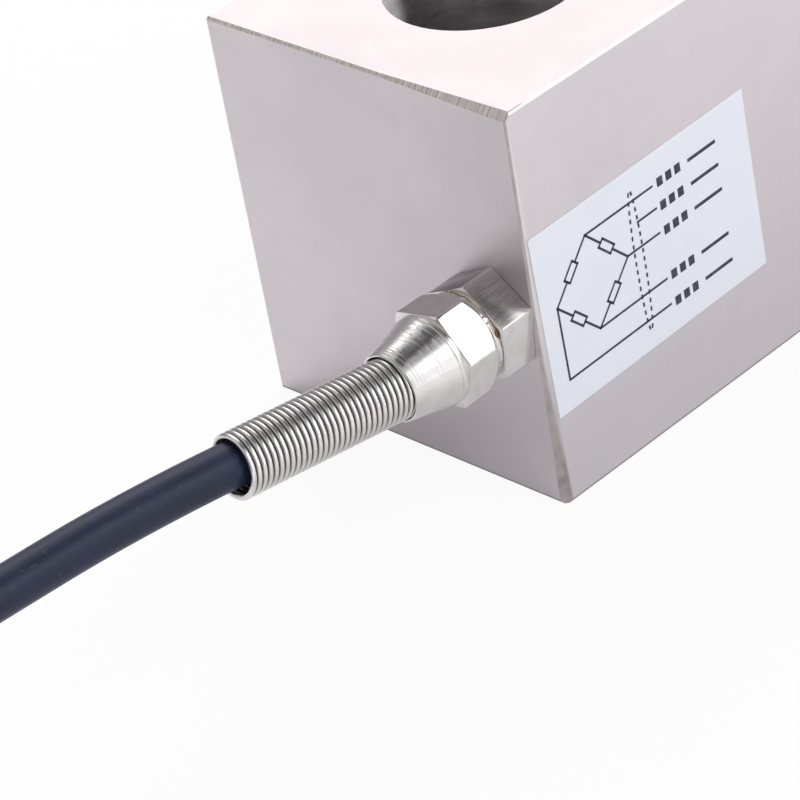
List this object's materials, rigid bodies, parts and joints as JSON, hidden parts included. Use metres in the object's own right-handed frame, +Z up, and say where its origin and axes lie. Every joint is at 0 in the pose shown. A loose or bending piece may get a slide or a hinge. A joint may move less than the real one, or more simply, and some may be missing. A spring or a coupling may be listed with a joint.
{
  "type": "shear beam load cell",
  "caption": "Square steel load cell beam with cross-drilled bolt holes, side gauge pockets under pressed covers, and a cable that leaves one end through a gland and spring.",
  "frame": {"origin": "middle of the beam's underside", "axes": "+X along the beam away from its cable end, +Y across the beam away from the labelled side, +Z up"},
  "size_m": [0.4556, 0.0564, 0.054],
  "materials": {
    "beam_steel": "satin plated steel",
    "gland_metal": "bright nickel plate",
    "spring_steel": "drawn wire",
    "cover_steel": "pressed stainless sheet",
    "cable_jacket": "matte dark slate jacket",
    "label_film": "printed film",
    "thread_sealant": "brown sealing compound",
    "gland_rubber": "black rubber",
    "washer_brass": "plain",
    "gauge_film": "amber film",
    "coating_silicone": "soft silicone",
    "board_green": "circuit board",
    "resistor_ceramic": "lacquered",
    "tinned_wire": "tinned copper",
    "core_red": "core insulation",
    "core_black": "core insulation",
    "core_green": "core insulation",
    "core_white": "core insulation",
    "core_yellow": "sleeve of the shield wire",
    "tie_black": "moulded strap"
  },
  "bodies": {
    "root": {"beam_body": "beam_steel", "near_cover": "cover_steel", "far_cover": "cover_steel", "near_gauge": "gauge_film", "far_gauge": "gauge_film", "near_coating": "coating_silicone", "far_coating": "coating_silicone", "near_gauge_pins": "tinned_wire", "far_gauge_leads": "core_white", "bridge_board": "board_green", "trim_resistors": "resistor_ceramic", "gland_body": "gland_metal", "thread_sealant": "thread_sealant", "gland_nut": "gland_metal", "gland_seal": "gland_rubber", "gland_washer": "washer_brass", "relief_spring": "spring_steel", "wiring_label": "label_film", "cable_run": "cable_jacket", "cable_hank": "cable_jacket", "hank_tie": "tie_black", "tinned_ends": "tinned_wire", "core_red": "core_red", "core_black": "core_black", "core_green": "core_green", "core_white": "core_white", "core_shield": "core_yellow", "end_red": "core_red", "end_black": "core_black", "end_green": "core_green", "end_white": "core_white", "end_shield": "core_yellow"}
  },
  "joints": []
}
